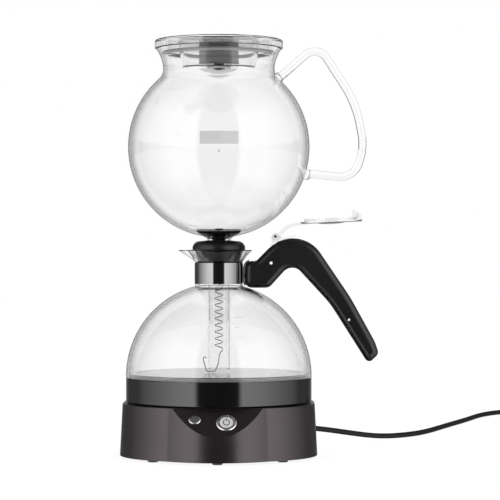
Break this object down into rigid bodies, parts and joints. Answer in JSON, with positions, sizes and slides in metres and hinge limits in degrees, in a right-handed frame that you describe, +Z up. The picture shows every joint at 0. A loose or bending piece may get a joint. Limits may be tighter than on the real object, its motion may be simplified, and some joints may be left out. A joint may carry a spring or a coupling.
{
  "type": "siphon coffee maker",
  "caption": "Electric vacuum coffee maker: glass funnel with filter and lid in the neck of a heated glass flask with a black grip, on a corded power base.",
  "frame": {"origin": "middle of the footprint of the coffee maker without its cord, on the surface that it stands on", "axes": "+Z up, -Y towards the front with the button, +X towards the grip; the vessels' common axis is at x = -0.0278 m"},
  "size_m": [0.5165, 0.5874, 0.38],
  "materials": {
    "housing": "satin metallic charcoal",
    "inner_plastic": "moulded",
    "rubber": "smooth",
    "screw_steel": "zinc plated",
    "deck": "satin",
    "contact_brass": "plated",
    "button_bezel": "satin",
    "button_cap": "satin",
    "button_sign": "printed",
    "lamp": "glossy",
    "cord_rubber": "satin",
    "tie": "woven",
    "blade_metal": "plated",
    "skirt": "high gloss",
    "polished_steel": "mirror polished",
    "plate_steel": "polished",
    "wire_steel": "drawn",
    "glass": "clear",
    "grip": "satin",
    "clear_plastic": "clear",
    "filter_plastic": "satin"
  },
  "bodies": {
    "base": {"base_housing": "housing", "base_bottom_cover": "inner_plastic", "base_feet": "rubber", "base_screws": "screw_steel", "deck_plate": "deck", "power_spigot": "inner_plastic", "contact_rings": "contact_brass", "button_bezel": "button_bezel", "indicator_bezel": "button_bezel", "indicator_lens": "lamp", "control_board": "inner_plastic", "tact_switch": "inner_plastic", "strain_relief": "cord_rubber", "mains_cord": "cord_rubber", "cord_coil": "cord_rubber", "cord_tie": "tie", "mains_plug": "cord_rubber", "plug_blades": "blade_metal"},
    "button": {"power_button": "button_cap", "button_icon": "button_sign"},
    "flask": {"flask_glass": "glass", "heater_plate": "plate_steel", "flask_seal": "rubber", "heater_skirt": "skirt", "skirt_cover": "inner_plastic", "kettle_socket": "inner_plastic", "heating_element": "plate_steel", "thermostat": "plate_steel", "neck_band": "polished_steel", "handle_bracket": "polished_steel", "clamp_screw": "screw_steel", "flask_handle": "grip", "hinge_clip": "clear_plastic", "hinge_pin": "polished_steel"},
    "flip_lid": {"flask_lid": "clear_plastic"},
    "funnel": {"funnel_glass": "glass", "funnel_handle": "glass", "gasket": "rubber", "filter_hook": "wire_steel", "filter_spring": "wire_steel"},
    "filter": {"filter_disc": "filter_plastic", "filter_core": "filter_plastic", "filter_rod": "wire_steel"},
    "cover": {"lid_disc": "clear_plastic", "lid_seal": "rubber", "lid_cup": "clear_plastic", "lid_core": "polished_steel", "lid_core_cap": "polished_steel"}
  },
  "joints": [
    {"name": "button_press", "type": "slide", "parent": "base", "child": "button", "axis": [0, 0.891, -0.454], "range_m": [0, 0.0015], "stiffness_N_per_m": 300},
    {"name": "flask_lift", "type": "slide", "parent": "base", "child": "flask", "axis": [0, 0, 1], "range_m": [0, 0.08]},
    {"name": "funnel_lift", "type": "slide", "parent": "flask", "child": "funnel", "axis": [0, 0, 1], "range_m": [0, 0.36]},
    {"name": "flip_lid_hinge", "type": "hinge", "parent": "flask", "child": "flip_lid", "pos_m": [0.02379, 0, 0.20057], "axis": [0, -1, 0], "range_deg": [0, 177.5]},
    {"name": "filter_lift", "type": "slide", "parent": "funnel", "child": "filter", "axis": [0, 0, 1], "range_m": [0, 0.015], "stiffness_N_per_m": 60, "springref_m": -0.02, "deforming": ["filter_spring"]},
    {"name": "cover_lift", "type": "slide", "parent": "funnel", "child": "cover", "axis": [0, 0, 1], "range_m": [0, 0.05]}
  ],
  "couplings": [
    {"joint": "flip_lid_hinge", "follows": "funnel_lift", "rad_per_m": 8.6052}
  ]
}
